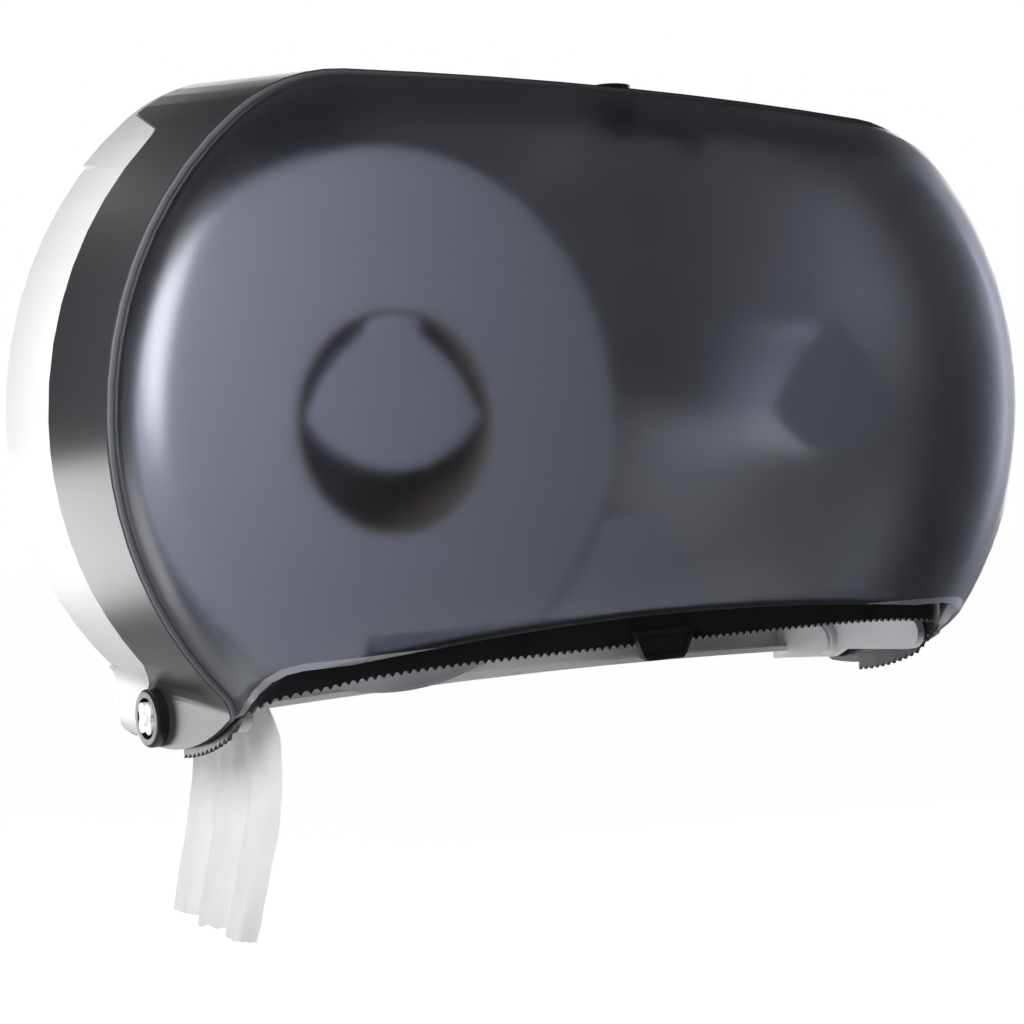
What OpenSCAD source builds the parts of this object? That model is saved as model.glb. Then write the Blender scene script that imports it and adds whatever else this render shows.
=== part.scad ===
// Wall-mounted twin jumbo tissue dispenser, in millimetres.
// X runs along the wall, Y = 0 is the wall and the front looks along -Y, Z is up.
// Z = 0 is the height of the two spindles; the origin is the middle of the wall screws.

/* [Outline] */
// Width over both round ends
width = 489; // [475:1:505]
// Distance from the wall to the front of the cover
depth = 137; // [132:1:146]
// Height of the top edge above the spindles, at the wall
top_rear = 155; // [151:1:158]
// Height of the top edge above the spindles, at the front
top_front = 141; // [137:1:145]
// Height of the widest point of the ends above the spindles
widest_z = 2; // [-3:0.5:6]
// Radius of the lower half of each end
end_r_low = 152; // [146:1:158]
// Radius of the upper half of each end at the wall
end_r_rear = 172; // [164:1:178]
// Radius of the upper half of each end at the front
end_r_front = 152; // [147:1:160]
// Radius where an end turns into the top edge
corner_r = 82; // [70:1:90]
// Radius of the slightly arched top edge
crown_r = 2800; // [2000:50:3800]
// How far the hinge feet are set in from the widest point
foot_inset = 47.5; // [44:0.5:52]
// Radius of the hollow where an end turns into its foot
notch_r = 14; // [9:1:20]
// How far the feet reach below the spindles
foot_drop = 136; // [134:0.5:142]
// Radius of the rounded outer corners of the feet
foot_r = 10; // [6:0.5:11]

/* [Cover] */
// Wall thickness of the cover
cover_t = 2.8; // [2.2:0.1:3.4]
// Depth from the step between side band and front to the front
band_run = 25; // [22:0.5:29]
// Height of the step between side band and front
band_step = 2.4; // [1.2:0.1:3.2]
// Width of the soft rounding around the front
front_round = 24; // [18:0.5:28]
// How far the middle of the front bulges
front_bulge = 1.5; // [0.5:0.1:2.5]
// Height of the arched lower edge below the spindles, in the middle
arch_drop = 85.4; // [80:0.2:88]
// Radius of the arched lower edge
arch_r = 1450; // [1200:10:2000]
// Radius of the lower edge of the ears, seen from the side
ear_r = 125; // [118:1:132]
// Gap between the cover and the housing
seam = 0.5; // [0.3:0.1:1]
// Distance from the wall to the rear edge of the cover's top
top_seam_y = 4.5; // [3.5:0.5:8]
// Height at which the rear edge of the cover turns back towards the wall
tongue_z = 122; // [112:1:126]
// Slope of that turn, up towards the wall
tongue_slope = 16; // [0:1:20]

/* [Housing] */
// Depth of the housing's side walls
housing_d = 52; // [48:0.5:56]
// Thickness of the back plate
plate_t = 3; // [2.5:0.1:4]
// Thickness of the side walls
wall_t = 3; // [2.4:0.1:4]
// Depth of the rebate along the wall
rebate_y = 14; // [8:0.5:18]
// How far the rebate is set in
rebate_in = 1.4; // [0.6:0.1:1.8]
// Lower edge of the back plate below the spindles, in the middle
sill_drop = 127; // [122:0.5:129]
// Radius of that lower edge
sill_r = 4300; // [3500:100:6000]
// Depth of the flange along that lower edge
sill_flange = 8; // [5:0.5:12]
// Diameter of the screw slots for the wall
screw_d = 6; // [5:0.1:7]
// Length of the screw slots
slot_len = 12; // [10:0.5:16]
// Distance between the screw slots along the wall
screw_dx = 320; // [300:1:340]
// Distance between the screw slots, up and down
screw_dz = 140; // [120:1:150]

/* [Hinge] */
// Distance from the wall to the hinge axis
hinge_y = 41; // [40:0.2:43]
// Height of the hinge axis above the feet
hinge_rise = 14.2; // [13.2:0.2:15.8]
// Diameter of the hinge pins
pin_d = 10; // [8:0.1:11]
// Running clearance of a hinge pin, on the radius
pin_fit = 0.05; // [0.03:0.01:0.1]
// Outer diameter of the hinge rings
ring_d = 24.6; // [23:0.1:26]
// Width of the hinge rings outside the ears
ring_w = 5; // [3.5:0.1:6]
// Thickness of the housing's hinge arms
arm_t = 4.9; // [4:0.1:6]
// Distance from the front of the cover to the tip of the hinge arms
arm_back = 30; // [29.5:0.5:37]

/* [Spindles and roll] */
// Distance from the widest point of an end to its spindle
roll_space = 123; // [121.5:0.25:124.5]
// Bore of the roll's cardboard core
core_bore = 88; // [86:0.5:92]
// Wall of the cardboard core
core_t = 1.6; // [1:0.1:3]
// Diameter of the paper roll
roll_d = 220; // [180:1:222]
// Width of the paper roll
roll_w = 90; // [84:0.5:92]
// Distance from the front of the cover to the roll's front face
roll_gap = 24.3; // [24:0.1:29]
// Gap between the core and the spindle that carries it
core_gap = 0.3; // [0.2:0.05:0.6]
// Half the width over the spindle's two lower corners
spindle_half = 39.5; // [34:0.5:41]
// Thickness of the spindle's front cap
cap_t = 3.5; // [2.5:0.1:5]
// Wall of the hollow spindle
spindle_wall = 2.6; // [2:0.1:4]
// Free length of the tissue below the lower edge
tail_drop = 84; // [60:1:110]
// Thickness of the hanging tissue
tail_t = 0.6; // [0.4:0.1:1]

/* [Tear strip and selector] */
// Drop of the tooth tips below the spindles, in the middle
tooth_drop = 99.3; // [98:0.1:101]
// Distance from tooth to tooth
tooth_pitch = 4; // [3.5:0.1:5]
// Height of a tooth
tooth_h = 1.6; // [1:0.1:2]
// Thickness of the tear strip
strip_t = 2.2; // [1.8:0.1:2.6]
// How far the tear strip reaches up behind the cover's lower edge
strip_lap = 2; // [1.5:0.5:5]
// Half the length of the selector bar
bar_half = 78; // [60:1:85]
// Half the travel of the selector
selector_travel = 60; // [40:1:62]
// Half the width of the selector's grip at its top
grip_half = 17; // [13:0.5:19]

/* [Lock] */
// Distance from the cover's step back to the lock's axis
lock_back = 11; // [10.5:0.5:16]
// Diameter of the lock barrel
barrel_d = 11.5; // [10:0.5:12.5]
// Wall of the sleeve around the barrel
sleeve_t = 2.6; // [2:0.1:3.2]
// Reach of the latch arm from the lock's axis
latch_reach = 46; // [42:0.5:50]
// Half the width of the strike's bar
strike_half = 7; // [5:0.5:8]
// Free height between the latch arm and the strike's bar
latch_gap = 0.5; // [0.3:0.1:1]

/* [Hidden] */
$fn = 64;
eps = 0.01;

smoke = [0.16, 0.17, 0.21];
black = [0.05, 0.05, 0.06];
white = [0.93, 0.93, 0.94];
steel = [0.66, 0.67, 0.69];
card = [0.62, 0.5, 0.36];
tissue = [0.96, 0.96, 0.96];

half = width / 2;
foot_half = half - foot_inset;
band_y = depth - band_run;
hinge_drop = foot_drop - hinge_rise;
spindle_x = half - roll_space;
roll_y = depth - roll_gap;
arm_reach = depth - arm_back;
lock_y = band_y - lock_back;
arm_out = foot_half - cover_t - strip_t - 1.8;
arm_in = arm_out - arm_t;
ring_out = foot_half + ring_w;

// ---------------------------------------------------------------- helpers
module along_y(y0, y1) translate([0, y1, 0]) rotate([90, 0, 0]) linear_extrude(y1 - y0) children();
module along_x(x0, x1) translate([x0, 0, 0]) rotate([90, 0, 90]) linear_extrude(x1 - x0) children();
module both_sides() {
    children();
    mirror([1, 0, 0]) children();
}

function arc(c, r, a0, a1, n) =
    [for (i = [0:n]) c + r * [cos(a0 + (a1 - a0) * i / n), sin(a0 + (a1 - a0) * i / n)]];
function drop(pts) = [for (i = [1:len(pts) - 1]) pts[i]];
function mirrored(pts) = [for (i = [len(pts) - 1:-1:0]) [-pts[i].x, pts[i].y]];

// Centre of the arc that rounds a top corner: tangent inside both the end and the top edge.
function corner_centre(end_c, end_r, top_c, top_r) =
    let (a = end_r - corner_r, b = top_r - corner_r, v = top_c - end_c, d = norm(v),
         along = (a * a - b * b + d * d) / (2 * d), side = sqrt(a * a - along * along),
         u = v / d)
    end_c + along * u + side * [-u.y, u.x];

// Half outline of the case in the XZ plane, from the foot up to the middle of the top.
// inset moves it inwards, y is the distance from the wall, low is where the foot ends.
function half_outline(inset, y, low) =
    let (k = y / depth,
         top = top_rear + (top_front - top_rear) * k,
         r_up = end_r_rear + (end_r_front - end_r_rear) * k,
         low_c = [half - end_r_low, widest_z],
         up_c = [half - r_up, widest_z],
         top_c = [0, top - crown_r],
         cc = corner_centre(up_c, r_up, top_c, crown_r),
         a_up = atan2(cc.y - up_c.y, cc.x - up_c.x),
         a_top = atan2(cc.y - top_c.y, cc.x - top_c.x),
         notch_x = foot_half + notch_r,
         notch_c = [notch_x, widest_z - sqrt(pow(end_r_low + notch_r, 2) - pow(notch_x - low_c.x, 2))],
         a_low = atan2(notch_c.y - low_c.y, notch_c.x - low_c.x),
         foot_in = max(foot_r - inset, 1))
    concat(arc([foot_half - inset - foot_in, low + inset + foot_in], foot_in, 270, 360, 4),
        arc(notch_c, notch_r + inset, 180, a_low + 180, 5),
        drop(arc(low_c, end_r_low - inset, a_low, 0, 10)),
        drop(arc(up_c, r_up - inset, 0, a_up, 9)),
        drop(arc(cc, corner_r - inset, a_up, a_top, 6)),
        drop(arc(top_c, crown_r - inset, a_top, 90, 4)));
function outline(inset, y, low) =
    let (h = half_outline(inset, y, low)) concat(h, drop(mirrored(h)));

// Flat faces that close a ring, each from one point to its mirror image across the middle.
function cap(n) = let (top = (n - 1) / 2)
    [for (i = [0:top - 1]) i == top - 1 ? [i, top, n - 1 - i] : [i, i + 1, n - 2 - i, n - 1 - i]];
// Solid through a stack of rings with equal point counts, closed by flat or pointed ends.
module loft(rings) {
    n = len(rings[0]);
    m = len(rings);
    pts = [for (ring = rings) for (p = ring) p];
    sides = [for (j = [0:m - 2]) for (i = [0:n - 1])
        let (a = j * n + i, b = j * n + (i + 1) % n) each [[a, b + n, b], [a, a + n, b + n]]];
    polyhedron(pts, concat(cap(n), sides, [for (f = cap(n)) [for (k = [len(f) - 1:-1:0]) (m - 1) * n + f[k]]]));
}
function ring_at(inset, y, low) = [for (p = outline(inset, y, low)) [p.x, -y, p.y]];
// Ring of the bulged front, shrunk by the factor s towards a point low on the front.
function face_ring(inset, y, low, s) =
    [for (p = outline(inset, y, low)) [p.x * s, -y - front_bulge * (1 - s * s), 10 + (p.y - 10) * s]];

// ---------------------------------------------------------------- cover
low_cut = -foot_drop - 14;
module cover_form(t, y_rear) {
    front = depth - front_bulge - t;
    step_in = band_step + t;
    run = front - band_y;
    loft(concat(
        [ring_at(t, y_rear, low_cut), ring_at(t, band_y - 1.6 - 0.4 * t, low_cut),
         ring_at(t + 0.8, band_y - 0.4 - 0.4 * t, low_cut), ring_at(step_in, band_y - 0.3 * t, low_cut)],
        [for (a = [18:18:90])
            ring_at(step_in + (front_round - t) * (1 - cos(a)), band_y + run * sin(a), low_cut)],
        [for (s = [0.8, 0.5, 0.2]) face_ring(step_in + front_round - t, front, low_cut, s)]));
}

// Side view of the ear that carries the hinge ring, grown by the gap g.
module ear_side(g) {
    r = ring_d / 2 + 0.7 + g;
    p = [-housing_d - seam + g, -98 + g];
    c = [-hinge_y, -hinge_drop];
    a = atan2(p.y - c.y, p.x - c.x) - acos(r / norm(p - c));
    translate(c) circle(r);
    polygon([p, c + r * [cos(a), sin(a)], c, c - [0, r], [-100, low_cut], [-100, p.y]]);
}

// Side view of what lies behind the cover's rear edge, set back by the gap g.
module behind_edge(g) {
    y = -housing_d - seam + g;
    c = [y + 9, tongue_z - g - 9];
    turn = c + 9 * [-sin(tongue_slope), cos(tongue_slope)];
    difference() {
        union() {
            translate([y, -200]) square([200, 200 + c.y]);
            polygon([c, turn, turn + 100 * [cos(tongue_slope), sin(tongue_slope)], [200, c.y]]);
            translate(c) circle(9);
            translate([-top_seam_y + g, 0]) square([50, 200]);
        }
        ear_side(g);
    }
}

// Front view of everything under the arched edge.
module arch_below() intersection() {
    x = foot_half - cover_t - 6;
    translate([-x, -300]) square([2 * x, 250]);
    translate([0, -arch_drop - arch_r]) circle(arch_r, $fn = 720);
}
function arch_z(x) = -arch_drop - arch_r + sqrt(arch_r * arch_r - x * x);
function top_z(y) = top_rear + (top_front - top_rear) * y / depth;
ear_c = [-hinge_y, ear_r - hinge_drop - ring_d / 2];

module cover_shell() color(smoke) difference() {
    cover_form(0, 0.5);
    cover_form(cover_t, -2);
    along_x(-300, 300) behind_edge(0);
    along_y(-depth - 5, -hinge_y + 20) arch_below();
    // rounded lower edge of the ears
    along_x(-300, 300) difference() {
        translate([-300, -300]) square([400, 250]);
        translate(ear_c) circle(ear_r, $fn = 128);
    }
    // seats of the hinge rings and of the lock
    both_sides() along_x(foot_half - 8, foot_half + 8)
        translate([-hinge_y, -hinge_drop]) circle(d = ring_d - 4.6);
    both_sides() along_x(foot_half, foot_half + 8)
        translate([-hinge_y, -hinge_drop]) circle(d = ring_d + 0.6);
    translate([0, -lock_y, top_front - 20]) cylinder(d = lock_hole_d, h = 60);
}

// Plan of the strip's outer face from the middle to one end, one point per third of a tooth.
strip_y = depth - front_bulge - 2 * cover_t + 1.5;
bend_r = strip_y - band_y + 12;
strip_x = foot_half - cover_t - 0.6;
bend_c = [strip_x - bend_r, -strip_y + bend_r];
bend_len = bend_r * PI / 2;
strip_end_y = hinge_y + ring_d / 2 + 2.5;
strip_len = bend_c.x + bend_len - bend_c.y - strip_end_y;
teeth = floor(strip_len / tooth_pitch);
function strip_at(s) =
    s < bend_c.x ? [[s, -strip_y], [0, -1]] :
    s < bend_c.x + bend_len ?
        let (a = (s - bend_c.x) / bend_r * 180 / PI) [bend_c + bend_r * [sin(a), -cos(a)], [sin(a), -cos(a)]] :
        [[strip_x, bend_c.y + s - bend_c.x - bend_len], [1, 0]];
function ear_z(y, r) = ear_c.y - sqrt(r * r - pow(y - ear_c.x, 2));
// Line of the tooth tips: level under the front, bending down to follow the ears.
function tip_z(p) =
    let (w = min(1, max(0, (p.y + strip_y) / bend_r)), front = -tooth_drop - 6 * pow(abs(p.x) / 180, 6))
    (1 - w) * front + w * ear_z(p.y, ear_r + 4);
function strip_top(p) =
    let (w = min(1, max(0, (p.y + strip_y) / bend_r)))
    (1 - w) * (arch_z(min(abs(p.x), foot_half - 22)) + strip_lap) + w * ear_z(p.y, ear_r - 5);

module tear_strip() color(black) {
    steps = [for (i = [-3 * teeth:3 * teeth]) i];
    n = len(steps);
    pts = [for (i = steps)
        let (s = abs(i) * tooth_pitch / 3, at = strip_at(s), p = at[0],
             q = p - strip_t * at[1], sgn = i < 0 ? -1 : 1,
             low = tip_z(p) + (abs(i) % 3 == 0 ? 0 : tooth_h))
        each [[sgn * p.x, p.y, strip_top(p)], [sgn * p.x, p.y, low],
              [sgn * q.x, q.y, low + 0.3], [sgn * q.x, q.y, strip_top(p)]]];
    sides = [for (j = [0:n - 2]) for (k = [0:3])
        let (a = 4 * j + k, b = 4 * j + (k + 1) % 4) each [[a, b + 4, b], [a, a + 4, b + 4]]];
    polyhedron(pts, concat([[0, 1, 2, 3]], sides, [[for (k = [3:-1:0]) 4 * (n - 1) + k]]));
}

module hinge_axis() translate([0, -hinge_y, -hinge_drop]) rotate([0, 90, 0]) children();

bore_d = pin_d + 2 * pin_fit;
module hinge_ring() color(black) hinge_axis() rotate_extrude() difference() {
    union() {
        translate([0, arm_out + 0.3]) square([ring_d / 2 - 2.4, ring_out - arm_out - 1]);
        translate([0, foot_half]) square([ring_d / 2, ring_w - 1.6]);
        translate([0, foot_half + 1]) square([ring_d / 2 - 1.6, ring_w - 1]);
        translate([ring_d / 2 - 1.6, ring_out - 1.6]) circle(1.6);
    }
    square([bore_d / 2, 2 * ring_out]);
    translate([0, ring_out - 3.8]) square([head_r + 1, 10]);
}
module hinge_ring_right() hinge_ring();
module hinge_ring_left() mirror([1, 0, 0]) hinge_ring();

// ---------------------------------------------------------------- selector
bar_h = 8;
bar_top = -arch_drop - 2;
bar_front = -strip_y + strip_t + 0.4;
bar_t = 2.5;
rail_half = bar_half + selector_travel + 6;
rail_t = 1.6;
rib_h = 2;
module selector_rail() color(black) difference() {
    union() {
        along_x(-rail_half, rail_half) translate([bar_front + bar_t + 0.3, bar_top - bar_h])
            square([rail_t, bar_h + 3]);
        both_sides() along_x(rail_half - 4, rail_half) translate([bar_front - 0.4, bar_top - bar_h])
            square([bar_t + 1, bar_h]);
    }
    along_x(5 - rail_half, rail_half - 5)
        translate([bar_front + bar_t - 1, bar_top - (bar_h + rib_h) / 2 - 0.2])
            square([5, rib_h + 0.4]);
    both_sides() translate([rail_half - 2, 0, bar_top - bar_h / 2]) rotate([90, 0, 0])
        cylinder(d = 2.2, h = 300, center = true);
}
module rail_screws() color(steel) both_sides()
    translate([rail_half - 2, bar_front + bar_t + 0.3 + rail_t, bar_top - bar_h / 2]) rotate([90, 0, 0]) {
        translate([0, 0, -1.4]) cylinder(d = 3.8, h = 1.4);
        translate([0, 0, -eps]) cylinder(d = 2.2, h = rail_t + bar_t);
    }
module selector_bar() color(white) {
    along_x(-bar_half, bar_half) {
        translate([bar_front, bar_top - bar_h]) square([bar_t, bar_h]);
        translate([bar_front + bar_t - 1, bar_top - (bar_h + rib_h) / 2])
            square([1 + 0.3 + rail_t + 0.6, rib_h]);
    }
}
grip_top = -92.5;
grip_low = -105.5;
module grip_front(d) polygon([[-grip_half + d, grip_top - d], [grip_half - d, grip_top - d],
    [grip_half - 5, grip_low + 2 + d], [grip_half - 7, grip_low + d],
    [7 - grip_half, grip_low + d], [5 - grip_half, grip_low + 2 + d]]);
module selector_grip() color(black) {
    difference() {
        along_y(-strip_y - 3.4, -strip_y - 0.4) grip_front(0);
        along_y(-strip_y - 5, -strip_y - 2.4) grip_front(2);
    }
    along_x(9 - grip_half, grip_half - 9) {
        translate([-strip_y - 0.5, grip_low]) square([strip_t + bar_t + 0.9, 3.4]);
        translate([bar_front, grip_low]) square([bar_t, bar_top - bar_h - grip_low]);
    }
}

// ---------------------------------------------------------------- housing
module sill_arch(d) translate([0, -sill_drop - sill_r + d]) circle(sill_r, $fn = 720);
module arm_side() {
    tip = 8.5;
    c = [tip - arm_reach, -hinge_drop + 9.1];
    polygon(concat([[-plate_t / 2, -92], [-18, -96], [-22, arm_top]], arc(c, tip, 90, 266, 12),
        [[-54, -125.6], [-hinge_y - 4, -hinge_drop - 9], [-hinge_y + 6, -hinge_drop - 10],
         [-plate_t / 2, -foot_drop]]));
}
screw_sites = [for (x = [-1, 1]) for (z = [-1, 1]) [x * screw_dx / 2, z * screw_dz / 2]];
spindle_screw_sites = [[0, -34], [-34, 25], [34, 25]];
strike_screw_x = 16;
strike_z = 112;
boss_d = 9;
foot_clear = ring_d / 2 + 1.2;
arm_top = -hinge_drop + 17.6;

module housing() color(white) difference() {
    union() {
        intersection() {
            difference() {
                loft([ring_at(0, 0, -foot_drop), ring_at(0, housing_d + 2, -foot_drop)]);
                loft([ring_at(wall_t, plate_t, -foot_drop - 5), ring_at(wall_t, housing_d + 5, -foot_drop - 5)]);
            }
            along_x(-300, 300) difference() {
                behind_edge(seam);
                translate([-hinge_y - 1, -hinge_drop - 60]) square([foot_clear + 1, 60]);
            }
        }
        // lip that locates the cover's top
        intersection() {
            difference() {
                loft([ring_at(cover_t + 0.8, 0, low_cut), ring_at(cover_t + 0.8, 24, low_cut)]);
                loft([ring_at(cover_t + 3.2, -1, low_cut), ring_at(cover_t + 3.2, 25, low_cut)]);
            }
            translate([-300, -100, tongue_z - 8]) cube([600, 200, 100]);
        }
        both_sides() along_x(arm_in, arm_out) arm_side();
        both_sides() hinge_axis() translate([0, 0, arm_in - 4]) cylinder(d = pin_d + boss_d - 1, h = 4.5);
        // flange along the lower edge
        intersection() {
            along_y(-plate_t - sill_flange, -plate_t / 2) difference() {
                sill_arch(2.6);
                sill_arch(0);
            }
            translate([-arm_in - 1, -50, low_cut - 10]) cube([2 * arm_in + 2, 60, 60]);
        }
        // pads under the spindles, bosses round the wall screws, ribs
        for (x = [-spindle_x, spindle_x]) along_y(-plate_t - 1.5, -plate_t / 2) translate([x, 0]) circle(52);
        for (p = screw_sites) along_y(-plate_t - 2, -plate_t / 2) translate(p) circle(slot_len / 2 + 4);
        for (x = [-spindle_x, spindle_x]) along_y(-plate_t - 4, -plate_t / 2) translate([x, 0]) difference() {
            circle(86);
            circle(84);
        }
    }
    // rebate along the wall, on the round ends
    difference() {
        translate([-300, -rebate_y, -104]) cube([600, rebate_y + 1, 104 + tongue_z - 12]);
        loft([ring_at(rebate_in, -2, low_cut), ring_at(rebate_in, rebate_y + 2, low_cut)]);
    }
    // open lower edge between the arms
    intersection() {
        along_y(-20, 10) sill_arch(0);
        translate([-arm_in, -50, -300]) cube([2 * arm_in, 100, 200]);
    }
    for (p = screw_sites) along_y(-20, 10) translate(p) {
        for (x = [-1, 1]) translate([x * (slot_len - screw_d) / 2, 0]) circle(d = screw_d);
        square([slot_len - screw_d, screw_d], center = true);
    }
    both_sides() hinge_axis() translate([0, 0, arm_in - 20]) cylinder(d = bore_d, h = 40);
    for (x = [-spindle_x, spindle_x]) for (p = spindle_screw_sites) along_y(-20, -1)
        translate([x + p.x, p.y]) circle(d = 3.4);
    for (x = [-1, 1]) along_y(-20, -1) translate([x * strike_screw_x, strike_z]) circle(d = 3.4);
}

wedge_top = -44;
wedge_low = -95;
module wedge(t) difference() {
    translate([-70, wedge_low + t]) square([140, wedge_top - wedge_low - 2 * t]);
    for (x = [-spindle_x, spindle_x]) translate([x, 0]) circle(roll_d / 2 + 3 + t, $fn = 128);
}
module roll_divider() color(white) difference() {
    along_y(-roll_y + 0.7, -plate_t) wedge(0);
    along_y(-roll_y + 3.2, -plate_t + 1) intersection() {
        wedge(2.4);
        translate([-50, -200]) square([100, 300]);
    }
}

// ---------------------------------------------------------------- hinge pins
head_r = 7.7;
module hinge_pin() color(white) hinge_axis() {
    translate([0, 0, arm_in - 4]) cylinder(d = pin_d, h = ring_out - 3.5 - arm_in + 4);
    translate([0, 0, arm_in - 6]) cylinder(d = pin_d + 5, h = 2);
    translate([0, 0, ring_out - 3.6]) linear_extrude(4.1) {
        circle(5.6);
        for (a = [45:90:315]) rotate(a) translate([head_r - 3.2, 0]) circle(3.2);
    }
    translate([0, 0, ring_out]) cylinder(d1 = 7, d2 = 5, h = 1.2);
}
module hinge_pin_right() hinge_pin();
module hinge_pin_left() mirror([1, 0, 0]) hinge_pin();

// ---------------------------------------------------------------- spindles
function arc_between(p, q, r, n) =
    let (m = (p + q) / 2, v = q - p, d = norm(v), h = sqrt(r * r - d * d / 4),
         c = m + h / d * [-v.y, v.x], a0 = atan2(p.y - c.y, p.x - c.x), a1 = atan2(q.y - c.y, q.x - c.x),
         da = a1 < a0 ? a1 - a0 + 360 : a1 - a0)
    [for (i = [0:n]) c + r * [cos(a0 + da * i / n), sin(a0 + da * i / n)]];
tab_half = 10.5;
// Three-cornered outline whose top tab carries the core; t shrinks it.
function spindle_outline(t) =
    let (w = spindle_half - t, top_r = core_bore / 2 - core_gap - t, tab = tab_half - t,
         tab_z = sqrt(top_r * top_r - tab * tab), shoulder = 35 - t, low = -19.7 + t)
    concat(arc_between([-w + 1.5, -1], [w - 1.5, -1], (pow(w - 1.5, 2) + pow(low + 1, 2)) / -2 / (low + 1), 14),
        arc_between([w - 1.5, -1], [w - 2.2, 6], 4.2, 4),
        drop(arc_between([w - 2.2, 6], [tab + 1, shoulder], 62, 7)),
        [for (a = [0:4]) let (b = 90 - atan2(tab, tab_z) * (1 - a / 2)) top_r * [cos(b), sin(b)]],
        arc_between([-tab - 1, shoulder], [-w + 2.2, 6], 62, 7),
        drop(arc_between([-w + 2.2, 6], [-w + 1.5, -1], 4.2, 4)));
flange_y = plate_t + 1.5;
cap_y = roll_y + 0.5;
flange_t = 2.5;
module spindle(x) color(white) translate([x, 0, 0]) difference() {
    union() {
        along_y(-flange_y - flange_t, -flange_y) circle(48);
        along_y(cap_t - cap_y, -flange_y - 1) polygon(spindle_outline(0));
    }
    along_y(cap_t - cap_y - 1, -flange_y + 1) polygon(spindle_outline(spindle_wall));
    for (p = spindle_screw_sites) along_y(-20, 0) translate(p) circle(d = 3.8);
}
module spindle_cap(x) color(white) translate([x, 0, 0]) {
    along_y(-cap_y, cap_t - cap_y) polygon(spindle_outline(0));
    along_y(cap_t - cap_y - eps, cap_t - cap_y + 5) difference() {
        polygon(spindle_outline(spindle_wall + 0.2));
        polygon(spindle_outline(spindle_wall + 2));
    }
}
module spindle_left() spindle(-spindle_x);
module spindle_right() spindle(spindle_x);
module spindle_cap_left() spindle_cap(-spindle_x);
module spindle_cap_right() spindle_cap(spindle_x);
module pan_screw(head_y) {
    along_y(-head_y - 2.2, -head_y) circle(d = 7);
    along_y(-head_y, -1.1) circle(d = 3.4);
}
module spindle_screws() color(steel)
    for (x = [-spindle_x, spindle_x]) for (p = spindle_screw_sites)
        translate([x + p.x, 0, p.y]) pan_screw(flange_y + flange_t);

// ---------------------------------------------------------------- lock
lock_z = top_z(lock_y);
top_slope = atan((top_rear - top_front) / depth);
sleeve_d = barrel_d + 2 * sleeve_t;
lock_hole_d = sleeve_d + 0.4;
sleeve_low = lock_z - 16;
latch_t = 2.5;
latch_top = sleeve_low - 1.5;
latch_w = 12;
tooth_low = latch_top - latch_t - 6.5;
module lock_sleeve() color(black) translate([0, -lock_y, 0]) difference() {
    union() {
        translate([0, 0, sleeve_low]) cylinder(d = sleeve_d, h = lock_z + 1 - sleeve_low);
        intersection() {
            translate([0, 0, lock_z - cover_t - 0.3]) rotate([top_slope, 0, 0]) translate([0, 0, -3])
                cylinder(d = sleeve_d + 7, h = 3);
            translate([-20, 0.5 - sleeve_d / 2, sleeve_low]) cube([40, 40, 40]);
        }
    }
    translate([0, 0, sleeve_low - 1]) cylinder(d = barrel_d + 2 * pin_fit, h = 40);
}
module lock_barrel() color(steel) translate([0, -lock_y, 0]) difference() {
    union() {
        translate([0, 0, sleeve_low - 0.3]) cylinder(d = barrel_d, h = lock_z + 0.5 - sleeve_low + 0.3);
        translate([0, 0, latch_top]) cylinder(d = barrel_d, h = 1.5);
    }
    translate([0, 0, lock_z + 0.5]) cube([7, 1.6, 9], center = true);
    translate([0, 0, latch_top - 1]) cylinder(d = 3.4, h = 7);
}
module latch_arm() color(steel) translate([0, -lock_y, 0]) difference() {
    union() {
        translate([0, 0, latch_top - latch_t]) cylinder(d = latch_w, h = latch_t);
        translate([0, -latch_w / 2, latch_top - latch_t]) cube([latch_reach - 3.5, latch_w, latch_t]);
        translate([latch_reach - 3.5, 1 - latch_w / 2, tooth_low])
            cube([3.5, latch_w - 2, latch_top - tooth_low]);
    }
    translate([0, 0, latch_top - latch_t - 1]) cylinder(d = 3.4, h = 7);
}
module latch_screw() color(steel) translate([0, -lock_y, latch_top]) {
    translate([0, 0, -latch_t - 2.2]) cylinder(d = 7, h = 2.2);
    translate([0, 0, -latch_t]) cylinder(d = 3.4, h = latch_t + 5.5);
}
bar_y = lock_y - latch_reach + 5;
bar_top_z = latch_top - latch_t - latch_gap;
tongue_t = 3;
tongue_low = tooth_low - 7;
strike_plate_half = 22;
strike_plate_h = 24;
module lock_strike() color(white) difference() {
    union() {
        along_y(-plate_t - 2.5, -plate_t) translate([-strike_plate_half, tongue_low - 8])
            square([2 * strike_plate_half, strike_plate_h]);
        along_x(-strike_half, strike_half) polygon([[-plate_t - 2, tongue_low - 8],
            [-plate_t - 2, tongue_low + tongue_t], [-bar_y, tongue_low + tongue_t], [-bar_y, bar_top_z],
            [-bar_y - tongue_t, bar_top_z], [-bar_y - tongue_t, tongue_low], [-40, tongue_low]]);
    }
    for (x = [-1, 1]) along_y(-20, 0) translate([x * strike_screw_x, strike_z]) circle(d = 3.6);
}
module strike_screws() color(steel) for (x = [-1, 1])
    translate([x * strike_screw_x, 0, strike_z]) pan_screw(plate_t + 2.5);

// ---------------------------------------------------------------- roll and tissue
module roll_tube(d_out, d_in) translate([-spindle_x, 0, 0]) along_y(-roll_y, roll_w - roll_y) difference() {
    circle(d = d_out, $fn = 128);
    circle(d = d_in, $fn = 128);
}
module paper_roll() color(tissue) roll_tube(roll_d, core_bore + 2 * core_t);
module roll_core() color(card) roll_tube(core_bore + 2 * core_t, core_bore);

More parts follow.
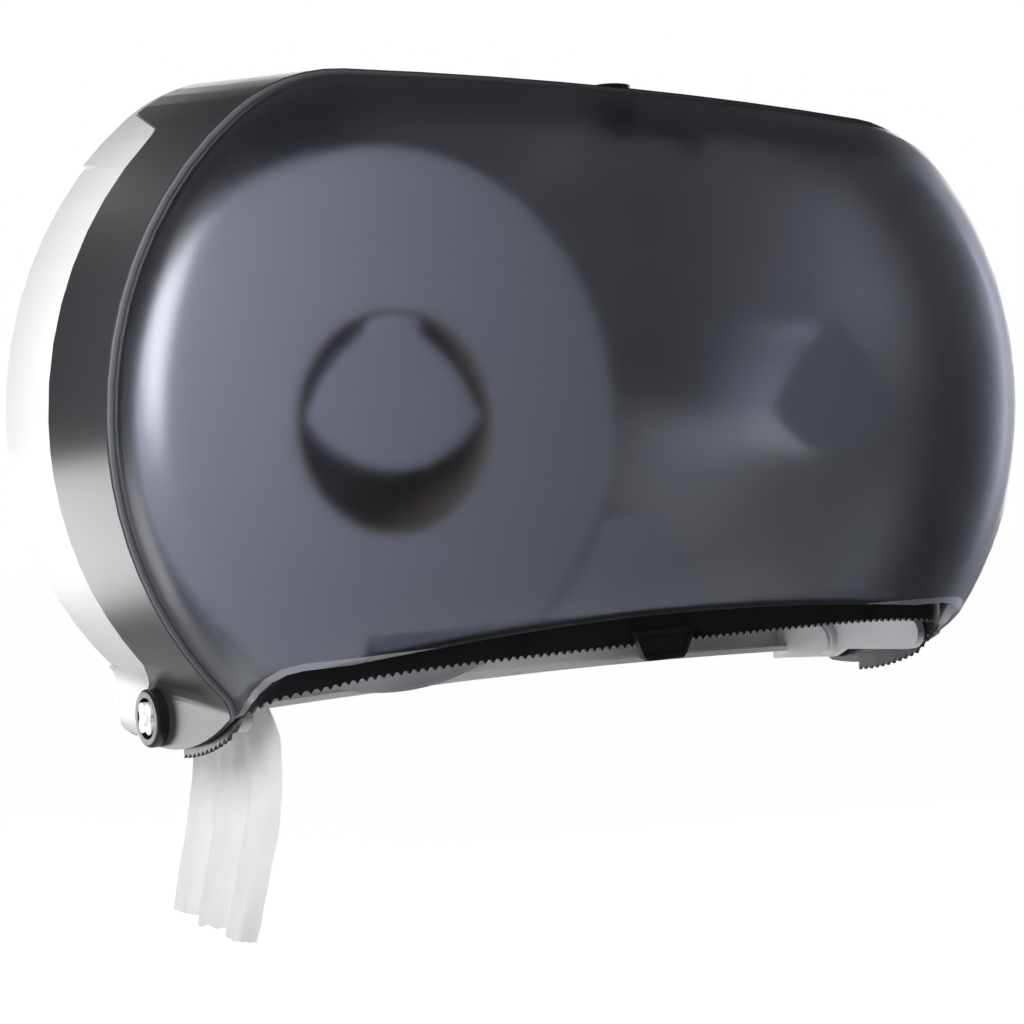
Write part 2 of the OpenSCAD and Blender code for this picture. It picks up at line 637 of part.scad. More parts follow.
// The tissue leaves the roll on a tangent, passes inside the hinge arm and hangs down.
exit_x = 46.5;
exit_z = -125;
module tissue_tail() color(tissue) {
    r = roll_d / 2 + 0.3;
    d = norm([exit_x, exit_z]);
    a = atan2(exit_z, -exit_x) - acos(r / d);
    touch = r * [cos(a), sin(a)];
    n = touch / norm(touch);
    translate([-spindle_x, 0, 0]) along_y(-roll_y + 1, roll_w - roll_y - 1)
        polygon([touch, [-exit_x, exit_z], [-exit_x, -sill_drop - tail_drop],
            [-exit_x - tail_t, -sill_drop - tail_drop], [-exit_x - tail_t, exit_z], touch + tail_t * n]);
}

housing();
roll_divider();
spindle_left();
spindle_right();
spindle_cap_left();
spindle_cap_right();
spindle_screws();
hinge_pin_left();
hinge_pin_right();
lock_strike();
strike_screws();
tissue_tail();
cover_shell();
tear_strip();
hinge_ring_left();
hinge_ring_right();
lock_sleeve();
selector_rail();
rail_screws();
lock_barrel();
latch_arm();
latch_screw();
selector_bar();
selector_grip();
paper_roll();
roll_core();
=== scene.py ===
# %% [markdown]
# # A twin jumbo tissue dispenser, dressed for its picture
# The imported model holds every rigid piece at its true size. This lesson loads it as a fixed
# frame, sets a camera and soft lights, and gives each piece the finish of the real thing:
# a smoked see-through cover, a white wall housing, a black tear band, paper and board.
# Cells run from top to bottom. Each one makes one thing and prints what it made.

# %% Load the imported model
import math
import bmesh
import bpy
from mathutils import Matrix, Vector, noise


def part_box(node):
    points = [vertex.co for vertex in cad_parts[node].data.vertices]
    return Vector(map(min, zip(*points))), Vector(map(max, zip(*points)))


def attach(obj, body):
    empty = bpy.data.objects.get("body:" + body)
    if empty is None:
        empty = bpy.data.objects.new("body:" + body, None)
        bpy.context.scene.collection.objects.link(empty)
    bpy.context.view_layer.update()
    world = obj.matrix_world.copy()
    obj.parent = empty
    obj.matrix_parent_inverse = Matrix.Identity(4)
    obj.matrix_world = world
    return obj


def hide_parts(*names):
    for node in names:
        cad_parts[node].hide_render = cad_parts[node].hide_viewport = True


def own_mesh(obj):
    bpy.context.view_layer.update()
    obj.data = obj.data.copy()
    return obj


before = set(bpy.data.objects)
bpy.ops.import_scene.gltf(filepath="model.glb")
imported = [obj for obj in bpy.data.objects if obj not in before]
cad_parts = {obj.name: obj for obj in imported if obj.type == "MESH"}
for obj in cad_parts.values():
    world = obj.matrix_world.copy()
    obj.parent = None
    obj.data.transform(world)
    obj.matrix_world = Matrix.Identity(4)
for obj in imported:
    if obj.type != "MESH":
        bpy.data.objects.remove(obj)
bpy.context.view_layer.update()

# %% [markdown]
# ## The camera
# The dispenser is seen from its left front, a little from above. A camera can be aimed with
# a constraint or with angles, but three axis vectors are the exact way when the view was
# worked out from circles in a picture: right, up and backward become the matrix columns.

# %% Place the camera
view_from = Vector((-0.5136, -0.7672, 0.0090))
view_forward = Vector((0.5644, 0.8233, -0.0606)).normalized()
view_up = Vector((0.0472, 0.0411, 0.998))
view_right = view_forward.cross(view_up).normalized()
view_up = view_right.cross(view_forward)

LENS_MM, SENSOR_MM = 66.07, 36.0
lens = bpy.data.cameras.new("view")
lens.lens = LENS_MM
lens.sensor_width = SENSOR_MM
camera = bpy.data.objects.new("view", lens)
bpy.context.scene.collection.objects.link(camera)
camera.matrix_world = Matrix.Translation(view_from) @ Matrix((
    (view_right.x, view_up.x, -view_forward.x),
    (view_right.y, view_up.y, -view_forward.y),
    (view_right.z, view_up.z, -view_forward.z))).to_4x4()
bpy.context.scene.camera = camera
print("camera at", tuple(round(c, 3) for c in camera.location))

# %% [markdown]
# ## The floor
# The ground is plain white. The floor is a large pale plane well below the piece, matte, so
# that it keeps the piece's shadow. A matte plane under small lamps would look grey, so it
# also glows, but only for the camera: that makes it white without throwing more light on
# the piece.

# %% Floor
FLOOR_Z, FLOOR_HALF = -0.62, 6
FLOOR_PAINT, FLOOR_LIFT = 0.86, 0.97
floor_mesh = bpy.data.meshes.new("floor")
floor_corners = [(-FLOOR_HALF, -FLOOR_HALF, FLOOR_Z), (FLOOR_HALF, -FLOOR_HALF, FLOOR_Z),
                 (FLOOR_HALF, FLOOR_HALF, FLOOR_Z), (-FLOOR_HALF, FLOOR_HALF, FLOOR_Z)]
floor_mesh.from_pydata(floor_corners, [], [(0, 1, 2, 3)])
floor = bpy.data.objects.new("floor", floor_mesh)
bpy.context.scene.collection.objects.link(floor)
print("floor", 2 * FLOOR_HALF, "m wide at z =", FLOOR_Z)

# %% Floor paint


def either_shader(tree, switch, first, second):
    """The first shader where the switch is 0 and the second where it is 1."""
    node = tree.nodes.new("ShaderNodeMixShader")
    tree.links.new(switch, node.inputs[0])
    tree.links.new(first, node.inputs[1])
    tree.links.new(second, node.inputs[2])
    return node.outputs[0]


floor_paint = bpy.data.materials.new("pale_floor")
floor_paint.use_nodes = True
nodes, links = floor_paint.node_tree.nodes, floor_paint.node_tree.links
nodes.clear()
seen = nodes.new("ShaderNodeLightPath")
matte = nodes.new("ShaderNodeBsdfDiffuse")
matte.inputs["Color"].default_value = (FLOOR_PAINT, FLOOR_PAINT, FLOOR_PAINT, 1)
lift = nodes.new("ShaderNodeEmission")
lift.inputs["Color"].default_value = (1, 1, 1, 1)
lift.inputs["Strength"].default_value = FLOOR_LIFT
both = nodes.new("ShaderNodeAddShader")
out = nodes.new("ShaderNodeOutputMaterial")
links.new(matte.outputs[0], both.inputs[0])
links.new(lift.outputs[0], both.inputs[1])
paint = either_shader(floor_paint.node_tree, seen.outputs["Is Camera Ray"],
                      matte.outputs[0], both.outputs[0])
links.new(paint, out.inputs["Surface"])
floor_mesh.materials.append(floor_paint)
print("pale_floor on floor")

# %% [markdown]
# ## The world
# The glossy cover shows where its light comes from, so the world is white to the camera but
# a dim room to the piece, a little brighter behind and below. Two ramps over the direction
# of a ray make that room. They cost nothing to render and stay put when the view changes.

# %% World
ROOM_FRONT, ROOM_BACK, ROOM_BELOW = 0.012, 0.05, 0.03
world = bpy.data.worlds.new("studio")
bpy.context.scene.world = world
world.use_nodes = True
nodes, links = world.node_tree.nodes, world.node_tree.links
nodes.clear()
where = nodes.new("ShaderNodeTexCoord")
axes = nodes.new("ShaderNodeSeparateXYZ")
links.new(where.outputs["Generated"], axes.inputs[0])


def spread(tree, value, low_in, high_in, low_out, high_out):
    """Stretch a value from one range to another."""
    node = tree.nodes.new("ShaderNodeMapRange")
    for socket, number in zip(("From Min", "From Max", "To Min", "To Max"),
                              (low_in, high_in, low_out, high_out)):
        node.inputs[socket].default_value = number
    tree.links.new(value, node.inputs["Value"])
    return node.outputs[0]


from_front = spread(world.node_tree, axes.outputs["Y"], -0.3, 0.9, ROOM_FRONT, ROOM_BACK)
from_above = spread(world.node_tree, axes.outputs["Z"], 0.05, -0.6, 0.0, ROOM_BELOW)
level = nodes.new("ShaderNodeMath")
level.operation = "ADD"
links.new(from_front, level.inputs[0])
links.new(from_above, level.inputs[1])
room = nodes.new("ShaderNodeBackground")
links.new(level.outputs[0], room.inputs["Strength"])
print("room brightness from", ROOM_FRONT, "in front to", ROOM_BACK, "behind")

# %% World as the camera sees it
ground = nodes.new("ShaderNodeBackground")
ground.inputs["Color"].default_value = (1, 1, 1, 1)
ground.inputs["Strength"].default_value = 1.0
seen = nodes.new("ShaderNodeLightPath")
out = nodes.new("ShaderNodeOutputWorld")
light = either_shader(world.node_tree, seen.outputs["Is Camera Ray"],
                      room.outputs[0], ground.outputs[0])
links.new(light, out.inputs["Surface"])
print("world: white to the camera, a dim room to the piece")

# %% [markdown]
# ## The lamps
# The roll is bright at its left edge and dark at its right, so the main window stands close
# at the left. Its own reflection would be a glaring patch on the rounded edge, so glossy
# surfaces don't see it. A panel behind gives the side band its bright low end, another gives
# the rounded edge its streak, and weak lamps fill the underside, the right side and the back.
# Each one was rendered alone first, and their powers were then chosen together, which is
# quicker than guessing and keeps white plastic just below clipping.

# %% A function for lamps


def soft_lamp(name, place, aim, wide, high, watts):
    """A rectangular soft box that the camera can't see."""
    data = bpy.data.lights.new(name, "AREA")
    data.shape = "RECTANGLE"
    data.size = wide
    data.size_y = high
    data.energy = watts
    lamp = bpy.data.objects.new(name, data)
    bpy.context.scene.collection.objects.link(lamp)
    lamp.location = place
    lamp.rotation_euler = (Vector(aim) - Vector(place)).to_track_quat("-Z", "Y").to_euler()
    lamp.visible_camera = False
    print(name, watts, "W at", place)
    return lamp


# %% Lamps
window = soft_lamp("window_left", (-0.47, -0.27, 0.12), (-0.20, -0.11, 0.03), 0.20, 0.26, 2.0)
window.visible_glossy = False
soft_lamp("panel_behind", (-0.46, 0.60, -0.22), (-0.24, -0.08, -0.04), 0.40, 0.27, 1.35)
soft_lamp("streak_left", (-0.65, 0.08, -0.28), (-0.23, -0.12, -0.04), 0.22, 0.34, 0.7)
soft_lamp("floor_glow", (0.08, -0.11, -0.42), (0.08, -0.03, -0.12), 0.62, 0.12, 0.45)
soft_lamp("fill_right", (1.2, -1.3, 0.4), (0.1, 0.0, 0.0), 1.0, 1.0, 0.7)
soft_lamp("side_right", (1.1, 0.25, 0.15), (0.24, -0.05, 0.0), 0.7, 0.7, 5.0)
soft_lamp("back_light", (0.3, 1.4, 0.25), (0.0, 0.0, 0.0), 1.0, 0.8, 11.0)

bpy.context.scene.view_settings.view_transform = "Standard"
print("the picture is shown with the plain view transform")

# %% [markdown]
# ## A small kit for finishes
# Each finish below is one node material. They share a few moves: read the place on the piece
# in metres, make noise at a size that is true to the real grain, and turn it into bump, tint
# and roughness. Object coordinates are used, so the grain keeps its size on every piece.
# Noise rarely leaves its middle range, so that range is what gets stretched.

# %% Helpers: start a finish and make a grain
NOISE_MIDDLE = (0.3, 0.7)


def start_finish(name):
    """An empty material with a Principled shader and object coordinates."""
    material = bpy.data.materials.new(name)
    material.use_nodes = True
    tree = material.node_tree
    tree.nodes.clear()
    shader = tree.nodes.new("ShaderNodeBsdfPrincipled")
    output = tree.nodes.new("ShaderNodeOutputMaterial")
    tree.links.new(shader.outputs[0], output.inputs["Surface"])
    place = tree.nodes.new("ShaderNodeTexCoord").outputs["Object"]
    return material, tree, shader, output, place


def grain(tree, place, per_metre, detail=2.0, rough=0.5):
    """Noise with the given number of grains in a metre."""
    node = tree.nodes.new("ShaderNodeTexNoise")
    node.inputs["Scale"].default_value = per_metre
    node.inputs["Detail"].default_value = detail
    node.inputs["Roughness"].default_value = rough
    tree.links.new(place, node.inputs["Vector"])
    return node.outputs["Fac"]


print("noise is stretched from", NOISE_MIDDLE)

# %% Helpers: bump, tint and dressing a node


def raise_surface(tree, shader, height, metres, strength=1.0, under=None):
    """Bump of a given height, on top of an earlier one when there is one."""
    node = tree.nodes.new("ShaderNodeBump")
    node.inputs["Distance"].default_value = metres
    node.inputs["Strength"].default_value = strength
    tree.links.new(height, node.inputs["Height"])
    if under is not None:
        tree.links.new(under, node.inputs["Normal"])
    tree.links.new(node.outputs[0], shader.inputs["Normal"])
    return node.outputs[0]


def tint(tree, factor, first, second):
    """A colour between two colours."""
    node = tree.nodes.new("ShaderNodeMix")
    node.data_type = "RGBA"
    node.inputs["A"].default_value = (*first, 1)
    node.inputs["B"].default_value = (*second, 1)
    tree.links.new(factor, node.inputs["Factor"])
    return node.outputs["Result"]


def dress(node_names, material):
    """Give CAD nodes a finish in place of their plain one."""
    for name in node_names:
        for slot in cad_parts[name].material_slots:
            slot.material = material
    print(material.name, "on", ", ".join(node_names))


# %% [markdown]
# ## Round faces that look round
# A CAD mesh is made of flat facets, and on a long curved shell each one shows as a stripe.
# Smooth shading hides them, but edges that are meant to be crisp have to stay crisp. A small
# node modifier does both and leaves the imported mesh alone: it joins the facets, then lets
# light run smoothly over every edge that bends less than a chosen angle. A second modifier
# lets big facets outweigh slivers, which would otherwise show as small smudges.

# %% A node group that smooths gentle edges
JOIN_WITHIN = 0.00001
GENTLE_DEGREES = 27
gentle_group = bpy.data.node_groups.new("smooth_gentle_edges", "GeometryNodeTree")
for way in ("INPUT", "OUTPUT"):
    gentle_group.interface.new_socket("Geometry", in_out=way, socket_type="NodeSocketGeometry")
start = gentle_group.nodes.new("NodeGroupInput")
join = gentle_group.nodes.new("GeometryNodeMergeByDistance")
join.inputs["Distance"].default_value = JOIN_WITHIN
faces = gentle_group.nodes.new("GeometryNodeSetShadeSmooth")
edges = gentle_group.nodes.new("GeometryNodeSetShadeSmooth")
edges.domain = "EDGE"
angle = gentle_group.nodes.new("GeometryNodeInputMeshEdgeAngle")
gentle = gentle_group.nodes.new("FunctionNodeCompare")
gentle.operation = "LESS_THAN"
gentle.inputs["B"].default_value = math.radians(GENTLE_DEGREES)
end = gentle_group.nodes.new("NodeGroupOutput")
gentle_group.links.new(start.outputs[0], join.inputs["Geometry"])
gentle_group.links.new(join.outputs[0], faces.inputs["Geometry"])
gentle_group.links.new(faces.outputs[0], edges.inputs["Geometry"])
gentle_group.links.new(angle.outputs["Unsigned Angle"], gentle.inputs["A"])
gentle_group.links.new(gentle.outputs[0], edges.inputs["Shade Smooth"])
gentle_group.links.new(edges.outputs[0], end.inputs[0])
print("edges below", GENTLE_DEGREES, "degrees will be smooth")

# %% Smooth shading on every CAD node
for name in sorted(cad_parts):
    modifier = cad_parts[name].modifiers.new("gentle", "NODES")
    modifier.node_group = gentle_group
    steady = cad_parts[name].modifiers.new("steady", "WEIGHTED_NORMAL")
    steady.mode = "FACE_AREA"
    steady.keep_sharp = True
print("smooth shading on", len(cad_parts), "nodes")

# %% [markdown]
# ## Smoked cover
# The cover is one clear shell, tinted almost black and frosted very finely, so that what lies
# close behind it shows with soft edges and what lies deep turns into shade. A plain glass
# shader with some roughness does that. Lamps reach the inside by letting their shadow rays
# pass through a tint, which is cleaner than waiting for light to find its way through glass.
# The side band, behind the step, lets much less light through and is nearly black. Roughness
# stays at or above 0.28 everywhere: across a lower value a denoiser treats some spots as
# clear glass and leaves smudges. The selector's rail is moulded from the same smoked plastic.

# %% Smoked cover: front and band zones
SMOKE_TINT, BAND_TINT = (0.58, 0.595, 0.655), (0.040, 0.041, 0.045)
BAND_EDGE, BAND_BLUR = -0.1115, 0.0006
smoke, tree, shader, output, place = start_finish("smoked_cover")
parts = tree.nodes.new("ShaderNodeSeparateXYZ")
tree.links.new(place, parts.inputs[0])
band = spread(tree, parts.outputs["Y"], BAND_EDGE - BAND_BLUR, BAND_EDGE + BAND_BLUR, 0.0, 1.0)
tree.links.new(tint(tree, band, SMOKE_TINT, BAND_TINT), shader.inputs["Base Color"])
print("the side band starts at y =", BAND_EDGE)

# %% Smoked cover: frosting
PLASTIC_IOR = 1.49
FRONT_HAZE, BAND_HAZE, BAND_CLEAR = (0.28, 0.32), 0.28, 0.15
shader.inputs["IOR"].default_value = PLASTIC_IOR
haze = spread(tree, grain(tree, place, 35, 3), *NOISE_MIDDLE, *FRONT_HAZE)
zone_haze = tree.nodes.new("ShaderNodeMix")
zone_haze.inputs["B"].default_value = BAND_HAZE
tree.links.new(band, zone_haze.inputs["Factor"])
tree.links.new(haze, zone_haze.inputs["A"])
tree.links.new(zone_haze.outputs["Result"], shader.inputs["Roughness"])
tree.links.new(spread(tree, band, 0.0, 1.0, 1.0, BAND_CLEAR), shader.inputs["Transmission Weight"])
raise_surface(tree, shader, grain(tree, place, 2600, 1), 0.00002, 0.25)
print("haze", FRONT_HAZE, "in front,", BAND_HAZE, "on the band")

# %% Smoked cover: let lamps reach the inside
LAMP_TINT, BAND_LAMP_TINT = (0.68, 0.695, 0.75), (0.10, 0.10, 0.11)
let_through = tree.nodes.new("ShaderNodeBsdfTransparent")
tree.links.new(tint(tree, band, LAMP_TINT, BAND_LAMP_TINT), let_through.inputs["Color"])
kind = tree.nodes.new("ShaderNodeLightPath")
either = tree.nodes.new("ShaderNodeMath")
either.operation = "MAXIMUM"
tree.links.new(kind.outputs["Is Shadow Ray"], either.inputs[0])
tree.links.new(kind.outputs["Is Diffuse Ray"], either.inputs[1])
seen_or_lit = either_shader(tree, either.outputs[0], shader.outputs[0], let_through.outputs[0])
tree.links.new(seen_or_lit, output.inputs["Surface"])
dress(["cover_shell", "selector_rail"], smoke)

# %% [markdown]
# ## Moulded plastics
# Housing, divider, spindles and trim are moulded plastic with the faint, even grain of a
# mould. They are nearly smooth, so their highlights are wide and soft. A touch of unevenness
# in colour and roughness keeps a big pale face from looking like paper. Four materials that
# differ only in numbers are best made by one function.

# %% A function for moulded plastic
MOULD_DEPTH = 0.00003


def moulded_plastic(name, patches, dark, light, satin, speckle, strength=0.3):
    """Plastic with patches in tint and shine over a fine grain, both counted per metre."""
    material, tree, shader, output, place = start_finish(name)
    patchy = grain(tree, place, patches, 3)
    tree.links.new(tint(tree, patchy, dark, light), shader.inputs["Base Color"])
    tree.links.new(spread(tree, patchy, *NOISE_MIDDLE, *satin), shader.inputs["Roughness"])
    raise_surface(tree, shader, grain(tree, place, speckle, 2), MOULD_DEPTH, strength)
    return material


# %% White housing
housing_white = moulded_plastic("housing_white", 18, (0.78, 0.785, 0.795),
                                (0.82, 0.82, 0.825), (0.38, 0.50), 1800)
dress(["housing", "lock_strike", "hinge_pin_left", "hinge_pin_right", "selector_bar"],
      housing_white)

# %% [markdown]
# ## Divider and spindles
# Through the smoked cover the divider between the rolls is the palest thing, so it is given a
# brighter white than the housing: painted brightness for the light it catches behind the cover.
# The spindles and their caps look cool and slightly grey beside it.

# %% Divider
# Painted brightness: the divider gets a whiter copy of the housing plastic for the light it
# catches.
divider_painted_bright = moulded_plastic("divider_painted_bright", 26, (0.90, 0.90, 0.905),
                                (0.94, 0.94, 0.94), (0.36, 0.46), 1800)
dress(["roll_divider"], divider_painted_bright)

# %% Spindles
spindle_grey = moulded_plastic("spindle_grey", 22, (0.80, 0.82, 0.86),
                               (0.85, 0.87, 0.90), (0.42, 0.52), 1500)
dress(["spindle_left", "spindle_right", "spindle_cap_left", "spindle_cap_right"],
      spindle_grey)

# %% [markdown]
# ## Black trim
# The toothed band, hinge rings and selector grip are black plastic with a low shine. Pure
# black never looks right, so the colour stays a little above it, and a stronger grain breaks
# up the reflection along the long curved band.

# %% Black trim
trim_black = moulded_plastic("trim_black", 60, (0.010, 0.010, 0.011),
                             (0.017, 0.017, 0.018), (0.26, 0.38), 1400, strength=0.35)
dress(["tear_strip", "hinge_ring_left", "hinge_ring_right", "lock_sleeve",
       "selector_grip"], trim_black)

# %% [markdown]
# ## Screws and lock
# Screws in the white housing are zinc plated and show brushed streaks, made by squeezing the
# noise along one axis. The lock and the rail's screws sit close behind the smoked cover,
# where nothing bright shows, so they have a blackened finish.

# %% Zinc-plated steel
SQUEEZE = (1.0, 12.0, 1.0)
zinc_steel, tree, shader, output, place = start_finish("zinc_steel")
stretch = tree.nodes.new("ShaderNodeMapping")
stretch.inputs["Scale"].default_value = SQUEEZE
tree.links.new(place, stretch.inputs["Vector"])
streak = grain(tree, stretch.outputs[0], 220, 3)
shader.inputs["Metallic"].default_value = 1.0
metal_tint = tint(tree, streak, (0.50, 0.51, 0.53), (0.66, 0.67, 0.69))
tree.links.new(metal_tint, shader.inputs["Base Color"])
tree.links.new(spread(tree, streak, *NOISE_MIDDLE, 0.24, 0.42), shader.inputs["Roughness"])
raise_surface(tree, shader, streak, MOULD_DEPTH, 0.3)
dress(["strike_screws", "spindle_screws"], zinc_steel)

# %% Blackened steel
dark_steel, tree, shader, output, place = start_finish("black_oxide_steel")
streak = grain(tree, place, 260, 3)
shader.inputs["Metallic"].default_value = 1.0
metal_tint = tint(tree, streak, (0.045, 0.045, 0.048), (0.085, 0.085, 0.09))
tree.links.new(metal_tint, shader.inputs["Base Color"])
tree.links.new(spread(tree, streak, *NOISE_MIDDLE, 0.38, 0.55), shader.inputs["Roughness"])
raise_surface(tree, shader, streak, MOULD_DEPTH, 0.3)
dress(["lock_barrel", "latch_arm", "latch_screw", "rail_screws"], dark_steel)

# %% [markdown]
# ## Paper roll
# A jumbo roll is hundreds of turns of thin tissue. Its face shows them as fine rings that
# wander a little, and its outside has a shallow embossed dimple pattern. Modelling the turns
# would be wasteful: distance from the roll's axis, worked out from the coordinates, drives
# rings on the faces, and a cell pattern makes the dimples all over the outside. The axis is
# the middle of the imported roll. A mesh keeps only about seven digits, so what is read from
# the frame is rounded to a micrometre.

# %% Paper roll: distance from the roll's axis
MICROMETRE = 6
TURN_WANDER = 0.0016
roll_low, roll_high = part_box("paper_roll")
roll_x = round((roll_low.x + roll_high.x) / 2, MICROMETRE)
paper, tree, shader, output, place = start_finish("roll_paper")
parts = tree.nodes.new("ShaderNodeSeparateXYZ")
tree.links.new(place, parts.inputs[0])
flat = tree.nodes.new("ShaderNodeCombineXYZ")
tree.links.new(parts.outputs["X"], flat.inputs["X"])
tree.links.new(parts.outputs["Z"], flat.inputs["Z"])
from_axis = tree.nodes.new("ShaderNodeVectorMath")
from_axis.operation = "DISTANCE"
from_axis.inputs[1].default_value = (roll_x, 0, 0)
tree.links.new(flat.outputs[0], from_axis.inputs[0])
wander = tree.nodes.new("ShaderNodeMath")
wander.operation = "MULTIPLY_ADD"
wander.inputs[1].default_value = TURN_WANDER
tree.links.new(grain(tree, place, 25, 2), wander.inputs[0])
tree.links.new(from_axis.outputs["Value"], wander.inputs[2])
print("rings are centred on x =", roll_x)

# %% Paper roll: rings and dimples
turns = tree.nodes.new("ShaderNodeTexNoise")
turns.noise_dimensions = "1D"
turns.inputs["Scale"].default_value = 900
turns.inputs["Detail"].default_value = 3
tree.links.new(wander.outputs[0], turns.inputs["W"])
ring_tint = tint(tree, turns.outputs["Fac"], (0.80, 0.80, 0.79), (0.93, 0.93, 0.925))
tree.links.new(ring_tint, shader.inputs["Base Color"])
shader.inputs["Roughness"].default_value = 0.9
shader.inputs["Specular IOR Level"].default_value = 0.2
shader.inputs["Sheen Weight"].default_value = 0.15
ring_bump = raise_surface(tree, shader, turns.outputs["Fac"], 0.0004, 0.5)
dimples = tree.nodes.new("ShaderNodeTexVoronoi")
dimples.inputs["Scale"].default_value = 260
tree.links.new(place, dimples.inputs["Vector"])
raise_surface(tree, shader, dimples.outputs["Distance"], 0.0002, 0.3, under=ring_bump)
dress(["paper_roll"], paper)

# %% [markdown]
# ## Cardboard core
# The core is grey-brown board. It shows as a dark hole through the cover, so its colour is
# deep, with the fine fibres of pressed board in tint and bump.

# %% Cardboard core
board, tree, shader, output, place = start_finish("core_board")
fibres = grain(tree, place, 420, 5, 0.7)
board_tint = tint(tree, fibres, (0.20, 0.155, 0.11), (0.30, 0.24, 0.175))
tree.links.new(board_tint, shader.inputs["Base Color"])
shader.inputs["Roughness"].default_value = 0.85
raise_surface(tree, shader, fibres, 0.00015, 0.5)
dress(["roll_core"], board)

# %% [markdown]
# ## Loose tissue
# The end of the roll comes off it on a tangent, passes over the hinge arm and hangs below the
# left ear. Thin tissue never hangs flat: it gathers into soft upright folds that grow
# towards its free end, and the end is torn. The sheet is a grid whose points follow the
# path of the paper, pushed sideways by folds that start at nothing where the roll holds it.

# %% Loose tissue: its place in the frame
EXIT_Z = -0.125
OFF_ROLL, OFF_FRONT, OFF_WALL, OFF_END = 0.0003, 0.0012, 0.0008, 0.0015
tail_low, tail_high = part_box("tissue_tail")
case_exit = Vector((round(tail_high.x, MICROMETRE), 0.0, EXIT_Z))
sheet_front = round(tail_low.y + OFF_FRONT, MICROMETRE)
sheet_back = round(tail_high.y - OFF_WALL, MICROMETRE)
torn_z = round(tail_low.z + OFF_END, MICROMETRE)
held_r = round((roll_high.x - roll_low.x) / 2 + OFF_ROLL, MICROMETRE)
print("the sheet is", round((sheet_back - sheet_front) * 1000), "mm wide")

# %% Loose tissue: where it leaves the roll
axis_to_exit = Vector((case_exit.x - roll_x, case_exit.z))
exit_angle = math.atan2(axis_to_exit.y, axis_to_exit.x)
meet_angle = exit_angle - math.acos(held_r / axis_to_exit.length)
touch = (roll_x + held_r * math.cos(meet_angle), held_r * math.sin(meet_angle))
print("the sheet leaves the roll at", tuple(round(c, 4) for c in touch))

# %% Loose tissue: the path of the paper
PATH_BEND = 0.03
to_exit = math.hypot(case_exit.x - touch[0], case_exit.z - touch[1])
sheet_length = to_exit + (case_exit.z - torn_z)


def tail_path(share):
    """Point in X and Z along the paper, 0 on the roll and 1 at the torn end."""
    along = share * sheet_length
    span_x, span_z = case_exit.x - touch[0], case_exit.z - touch[1]
    if along < to_exit - PATH_BEND:
        k = along / to_exit
        return touch[0] + span_x * k, touch[1] + span_z * k
    if along > to_exit + PATH_BEND:
        return case_exit.x, case_exit.z - (along - to_exit)
    k = (along - to_exit + PATH_BEND) / (2 * PATH_BEND)
    corner = Vector((case_exit.x, case_exit.z))
    start = Vector((case_exit.x - span_x / to_exit * PATH_BEND,
                    case_exit.z - span_z / to_exit * PATH_BEND))
    end = Vector((case_exit.x, case_exit.z - PATH_BEND))
    point = start.lerp(corner, k).lerp(corner.lerp(end, k), k)
    return point.x, point.y


print("loose tissue", round(sheet_length * 1000), "mm long")

# %% Loose tissue: folds, creases and the torn end
SWAY_X, SWAY_Y = -0.014, 0.010
WIDE_FOLD, WIDE_COUNT = 0.0030, 2.6
NARROW_FOLD, NARROW_COUNT = 0.0016, 5.3
BIG_TEAR, SMALL_TEAR = 0.0022, 0.0008
BIG_CREASE, SMALL_CREASE = 0.0009, 0.0004
FLAT_SHARE, GATHER = 0.25, 0.24


def ripple(size, *spot):
    """Smooth noise of a given size at a spot on the sheet."""
    return size * noise.noise(Vector(spot))


def tissue_point(share, side):
    """Place of one point: share runs down the sheet, side runs across it."""
    tear = (ripple(BIG_TEAR, side * 9.0, 3.1, 0.0)
            + ripple(SMALL_TEAR, side * 60.0, 7.7, 0.0))
    x, z = tail_path(share)
    free = max(0.0, (share - FLAT_SHARE) / (1 - FLAT_SHARE)) ** 1.5
    fold = (WIDE_FOLD * math.sin(side * WIDE_COUNT * 2 * math.pi + 0.8 + share)
            + NARROW_FOLD * math.sin(side * NARROW_COUNT * 2 * math.pi + 2 * share))
    crease = (ripple(BIG_CREASE, side * 7.0, share * 9.0, 1.3)
              + ripple(SMALL_CREASE, side * 22.0, share * 16.0, 5.3))
    gather = 1 - GATHER * free
    middle = (sheet_front + sheet_back) / 2 + SWAY_Y * free
    y = middle + (side - 0.5) * (sheet_back - sheet_front) * gather
    sway = SWAY_X * free + free * fold + min(1.0, share * 6) * crease
    return x + sway, y, z + tear * share ** 8


print("the free end gathers to", round((1 - GATHER) * 100), "percent of its width")

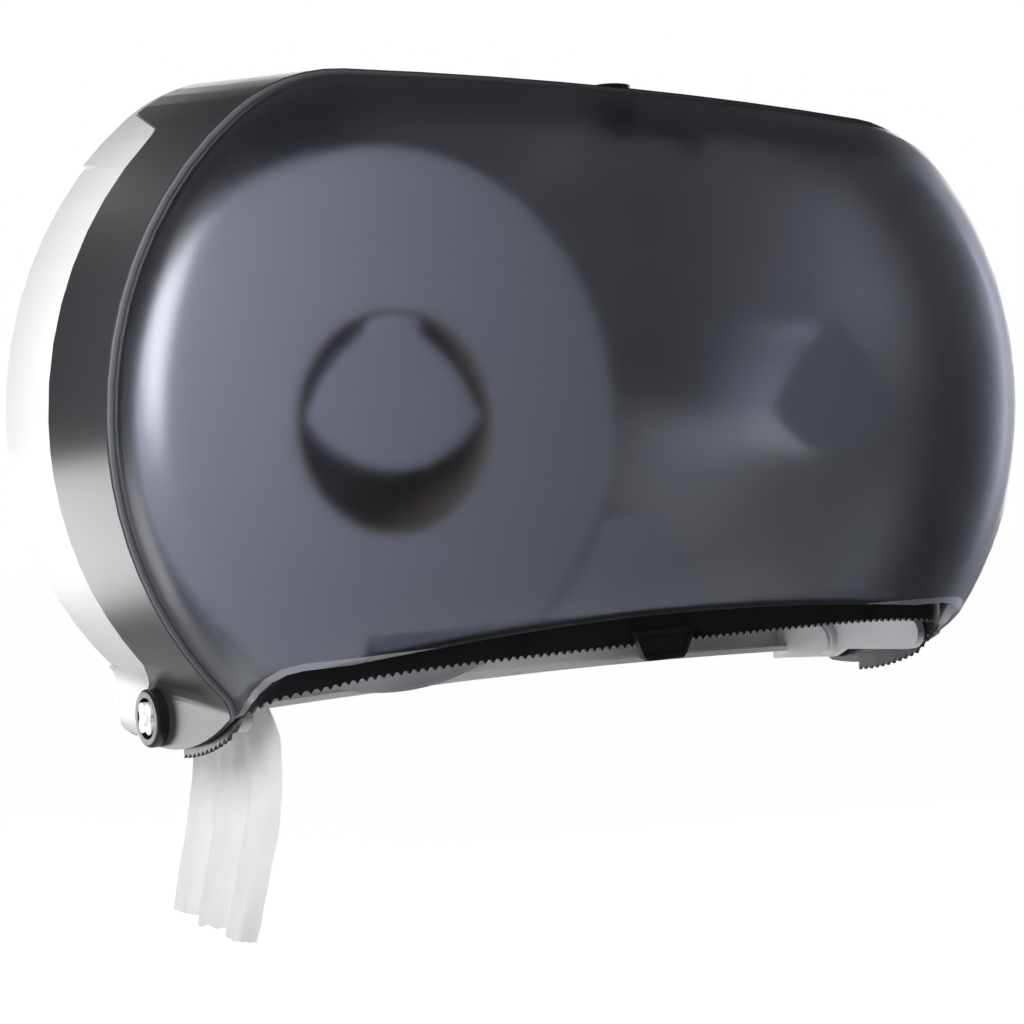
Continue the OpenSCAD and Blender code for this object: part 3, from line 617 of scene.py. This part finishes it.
# %% Loose tissue: the sheet
ACROSS, ALONG = 90, 120
sheet_mesh = bmesh.new()
grid = [[sheet_mesh.verts.new(tissue_point(i / ALONG, j / ACROSS)) for j in range(ACROSS + 1)]
        for i in range(ALONG + 1)]
for i in range(ALONG):
    for j in range(ACROSS):
        sheet_mesh.faces.new((grid[i][j], grid[i][j + 1], grid[i + 1][j + 1], grid[i + 1][j]))
tissue_mesh = bpy.data.meshes.new("loose_tissue")
sheet_mesh.to_mesh(tissue_mesh)
sheet_mesh.free()
for face in tissue_mesh.polygons:
    face.use_smooth = True
loose_tissue = bpy.data.objects.new("loose_tissue", tissue_mesh)
bpy.context.scene.collection.objects.link(loose_tissue)
print("loose tissue has", len(tissue_mesh.polygons), "faces")

# %% [markdown]
# ## The tissue's finish
# Tissue scatters light and lets some through, so a translucent shader is mixed with a rough
# one. Small embossed dots and cloudy fibres give it bump and tint.

# %% Loose tissue: finish
SHINE_THROUGH = 0.3
tissue, tree, shader, output, place = start_finish("soft_tissue")
shader.inputs["Roughness"].default_value = 0.95
shader.inputs["Specular IOR Level"].default_value = 0.15
shader.inputs["Sheen Weight"].default_value = 0.2
clouds = grain(tree, place, 160, 4, 0.6)
tissue_tint = tint(tree, clouds, (0.86, 0.86, 0.86), (0.93, 0.93, 0.93))
tree.links.new(tissue_tint, shader.inputs["Base Color"])
dots = tree.nodes.new("ShaderNodeTexVoronoi")
dots.inputs["Scale"].default_value = 300
tree.links.new(place, dots.inputs["Vector"])
dot_bump = raise_surface(tree, shader, dots.outputs["Distance"], 0.0002, 0.35)
raise_surface(tree, shader, clouds, 0.0005, 0.3, under=dot_bump)
glow = tree.nodes.new("ShaderNodeBsdfTranslucent")
glow.inputs["Color"].default_value = (0.88, 0.88, 0.87, 1)
blend = tree.nodes.new("ShaderNodeMixShader")
blend.inputs[0].default_value = SHINE_THROUGH
tree.links.new(shader.outputs[0], blend.inputs[1])
tree.links.new(glow.outputs[0], blend.inputs[2])
tree.links.new(blend.outputs[0], output.inputs["Surface"])
tissue_mesh.materials.append(tissue)
print("soft_tissue on loose_tissue")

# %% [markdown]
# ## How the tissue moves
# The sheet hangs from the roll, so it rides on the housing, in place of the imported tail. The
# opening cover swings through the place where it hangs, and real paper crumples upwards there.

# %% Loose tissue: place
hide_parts("tissue_tail")
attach(loose_tissue, "housing")
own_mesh(loose_tissue)
